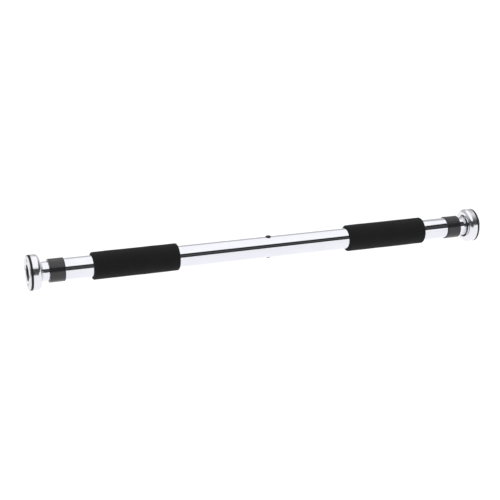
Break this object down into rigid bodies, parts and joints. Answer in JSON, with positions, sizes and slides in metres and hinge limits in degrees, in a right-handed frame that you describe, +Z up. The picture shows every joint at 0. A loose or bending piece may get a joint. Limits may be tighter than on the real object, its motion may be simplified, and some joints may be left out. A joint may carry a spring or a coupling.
{
  "type": "pull up bar",
  "caption": "Telescopic doorway pull up bar: chrome tube with foam grips, black collars, and turning screw-out ends that stand in round chrome wall cups.",
  "frame": {"origin": "centre of the bar, on the tube's axis", "axes": "+X along the bar towards the end that the centre pin is nearer to, +Z up along the centre pin towards its domed head, +Y away from the viewer"},
  "size_m": [0.7224, 0.0524, 0.0524],
  "materials": {
    "chrome": "polished chrome plate",
    "zinc": "bright zinc plate",
    "steel": "plain turned steel, oiled",
    "foam": "matte closed-cell foam",
    "rubber": "matte rubber",
    "black_plastic": "satin moulded plastic",
    "nylon": "natural nylon"
  },
  "bodies": {
    "bar": {"outer_tube": "chrome", "centre_boss": "steel", "lead_screw": "steel", "centre_pin": "steel", "left_collar": "black_plastic", "left_grip": "foam", "left_stop_washer": "steel", "left_stop_nut": "steel", "right_collar": "black_plastic", "right_grip": "foam", "right_stop_washer": "steel", "right_stop_nut": "steel"},
    "left_guide": {"left_guide_ring": "nylon"},
    "left_extension": {"left_inner_tube": "chrome", "left_travel_nut": "nylon", "left_nut_pins": "steel", "left_end_plug": "chrome", "left_plug_pins": "steel", "left_foot_plate": "steel", "left_foot_screw": "steel", "left_foot_pad": "rubber"},
    "left_cup": {"left_cup_shell": "chrome", "left_cup_gasket": "rubber", "left_base_plate": "zinc"},
    "right_guide": {"right_guide_ring": "nylon"},
    "right_extension": {"right_inner_tube": "chrome", "right_travel_nut": "nylon", "right_nut_pins": "steel", "right_end_plug": "chrome", "right_plug_pins": "steel", "right_foot_plate": "steel", "right_foot_screw": "steel", "right_foot_pad": "rubber"},
    "right_cup": {"right_cup_shell": "chrome", "right_cup_gasket": "rubber", "right_base_plate": "zinc"}
  },
  "joints": [
    {"name": "left_turn", "type": "hinge", "parent": "bar", "child": "left_guide", "pos_m": [-0.3289, 0, 0], "axis": [1, 0, 0], "range_deg": [-825, 8995]},
    {"name": "left_extend", "type": "slide", "parent": "left_guide", "child": "left_extension", "axis": [-1, 0, 0], "range_m": [-0.0092, 0.1]},
    {"name": "left_cup_swivel", "type": "hinge", "parent": "left_extension", "child": "left_cup", "pos_m": [-0.3515, 0, 0], "axis": [1, 0, 0], "continuous": true},
    {"name": "right_turn", "type": "hinge", "parent": "bar", "child": "right_guide", "pos_m": [0.3289, 0, 0], "axis": [1, 0, 0], "range_deg": [-825, 8995]},
    {"name": "right_extend", "type": "slide", "parent": "right_guide", "child": "right_extension", "axis": [1, 0, 0], "range_m": [-0.0092, 0.1]},
    {"name": "right_cup_swivel", "type": "hinge", "parent": "right_extension", "child": "right_cup", "pos_m": [0.3515, 0, 0], "axis": [1, 0, 0], "continuous": true}
  ],
  "couplings": [
    {"joint": "right_turn", "follows": "left_turn", "ratio": 1},
    {"joint": "left_extend", "follows": "left_turn", "m_per_rad": 0.00063662},
    {"joint": "right_extend", "follows": "left_turn", "m_per_rad": 0.00063662}
  ]
}
